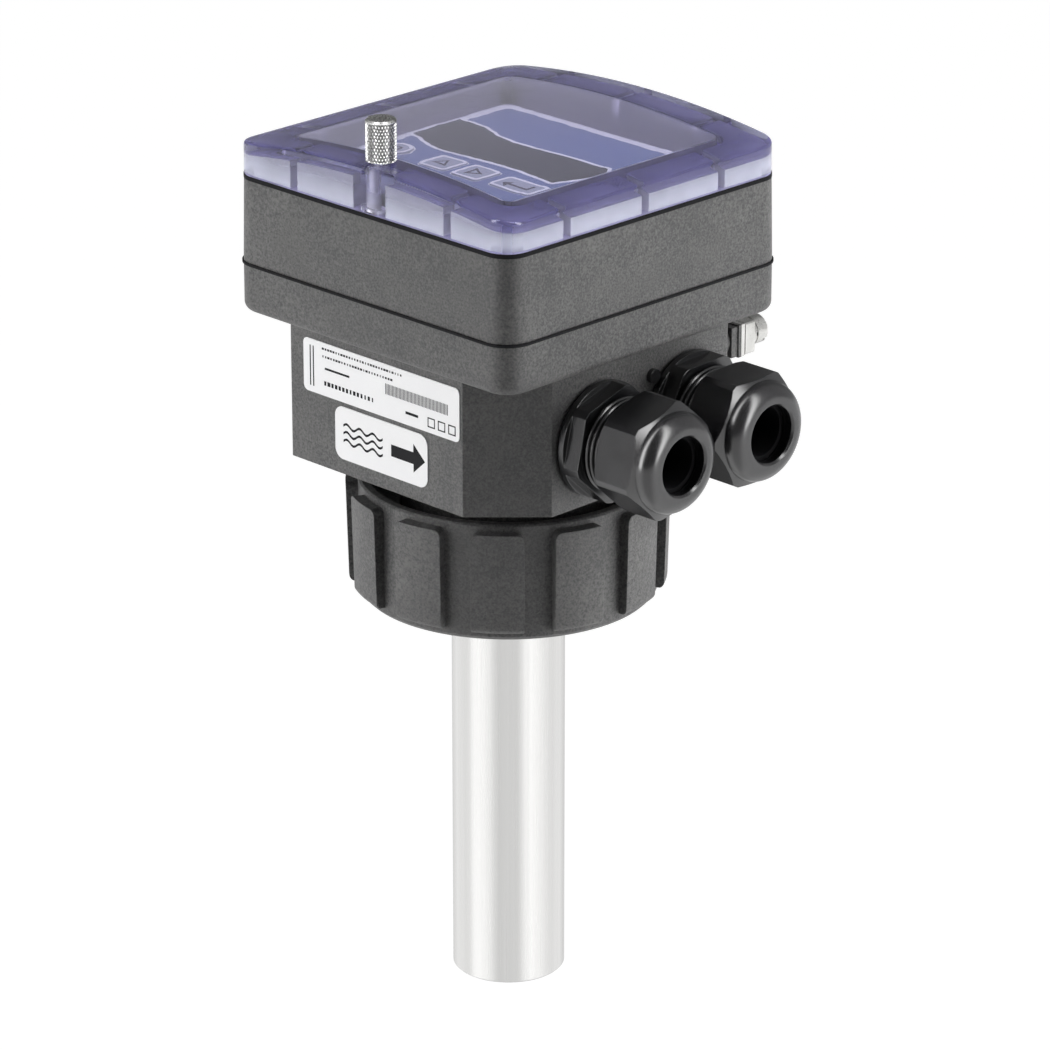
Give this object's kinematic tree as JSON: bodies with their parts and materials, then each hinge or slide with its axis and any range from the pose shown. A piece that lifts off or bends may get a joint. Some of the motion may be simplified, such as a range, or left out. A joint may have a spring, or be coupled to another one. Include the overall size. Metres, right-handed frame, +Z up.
{
  "type": "electromagnetic flow meter",
  "caption": "Insertion flow meter with a steel finger sensor, union nut, square head, clear hinged lid over a display, and cable glands on the side.",
  "frame": {"origin": "on the axis of the finger sensor, level with the lower face of the union nut", "axes": "+Z up along the finger towards the head; the finger points to -Z, the label face looks to -Y, the cable glands leave along +X and the lid is hinged at +Y"},
  "size_m": [0.1087, 0.101, 0.2226],
  "materials": {
    "stainless_tube": "drawn tube, satin with lengthwise lines",
    "stainless_turned": "turned",
    "seal_rubber": "matt",
    "inner_plastic": "moulded",
    "holder_plastic": "machined",
    "copper_winding": "enamelled wire",
    "core_iron": "turned",
    "cable_grey": "smooth",
    "housing_plastic": "fine spark-eroded grain",
    "screw_steel": "bright",
    "brass": "turned",
    "lid_clear": "tinted clear polycarbonate",
    "plated_brass": "nickel plated, diamond knurl",
    "bezel_plastic": "satin",
    "panel_film": "printed film",
    "lcd": "smooth",
    "circuit_board": "solder resist",
    "terminal_green": "moulded",
    "gland_plastic": "smooth moulded polyamide",
    "label_film": "satin label film",
    "key_plastic": "satin"
  },
  "bodies": {
    "housing": {"sensor_tube": "stainless_tube", "sensor_flange": "stainless_turned", "flange_seal": "seal_rubber", "spigot_seal": "seal_rubber", "ring_nut": "inner_plastic", "electrode_holder": "holder_plastic", "electrode_front": "stainless_turned", "electrode_back": "stainless_turned", "field_coil": "copper_winding", "coil_core": "core_iron", "sensor_leads": "cable_grey", "housing_base": "housing_plastic", "base_gasket": "seal_rubber", "cover_frame": "housing_plastic", "cover_screws": "screw_steel", "lid_gasket": "seal_rubber", "screw_insert": "brass", "hinge_pin_left": "screw_steel", "hinge_pin_right": "screw_steel", "display_bezel": "bezel_plastic", "keypad_film": "panel_film", "lcd_module": "lcd", "display_board": "circuit_board", "key_switches": "inner_plastic", "main_board": "circuit_board", "board_screws": "screw_steel", "terminal_block": "terminal_green", "board_link": "inner_plastic", "wall_plug": "gland_plastic", "earth_clamp": "screw_steel", "earth_washer": "screw_steel", "earth_spring_washer": "screw_steel", "earth_screw": "screw_steel", "rating_label": "label_film", "flow_label": "label_film", "gland_washer_front": "seal_rubber", "gland_body_front": "gland_plastic", "gland_claw_front": "gland_plastic", "gland_seal_front": "seal_rubber", "gland_washer_back": "seal_rubber", "gland_body_back": "gland_plastic", "gland_claw_back": "gland_plastic", "gland_seal_back": "seal_rubber"},
    "union_nut": {"union_nut": "housing_plastic"},
    "lid": {"lid": "lid_clear"},
    "thumb_screw": {"thumb_screw": "plated_brass", "thumb_screw_clip": "screw_steel"},
    "dome_nut_front": {"dome_nut_front": "gland_plastic"},
    "dome_nut_back": {"dome_nut_back": "gland_plastic"},
    "key_value": {"key_value": "key_plastic"},
    "key_up": {"key_up": "key_plastic"},
    "key_right": {"key_right": "key_plastic"},
    "key_enter": {"key_enter": "key_plastic"}
  },
  "joints": [
    {"name": "union_nut_turn", "type": "hinge", "parent": "housing", "child": "union_nut", "pos_m": [0, 0, 0.015], "axis": [0, 0, 1], "continuous": true},
    {"name": "lid_hinge", "type": "hinge", "parent": "housing", "child": "lid", "pos_m": [0, 0.0476, 0.1028], "axis": [-1, 0, 0], "range_deg": [0, 110]},
    {"name": "thumb_screw_turn", "type": "hinge", "parent": "lid", "child": "thumb_screw", "pos_m": [0, -0.04, 0.11], "axis": [0, 0, 1], "continuous": true},
    {"name": "dome_nut_front_turn", "type": "hinge", "parent": "housing", "child": "dome_nut_front", "pos_m": [0.0555, -0.0067, 0.0483], "axis": [1, 0, 0], "continuous": true},
    {"name": "dome_nut_back_turn", "type": "hinge", "parent": "housing", "child": "dome_nut_back", "pos_m": [0.0555, 0.0226, 0.0483], "axis": [1, 0, 0], "continuous": true},
    {"name": "key_value_press", "type": "slide", "parent": "housing", "child": "key_value", "axis": [0, 0, -1], "range_m": [0, 0.0004], "stiffness_N_per_m": 400, "springref_m": -0.0005},
    {"name": "key_up_press", "type": "slide", "parent": "housing", "child": "key_up", "axis": [0, 0, -1], "range_m": [0, 0.0004], "stiffness_N_per_m": 400, "springref_m": -0.0005},
    {"name": "key_right_press", "type": "slide", "parent": "housing", "child": "key_right", "axis": [0, 0, -1], "range_m": [0, 0.0004], "stiffness_N_per_m": 400, "springref_m": -0.0005},
    {"name": "key_enter_press", "type": "slide", "parent": "housing", "child": "key_enter", "axis": [0, 0, -1], "range_m": [0, 0.0004], "stiffness_N_per_m": 400, "springref_m": -0.0005}
  ]
}
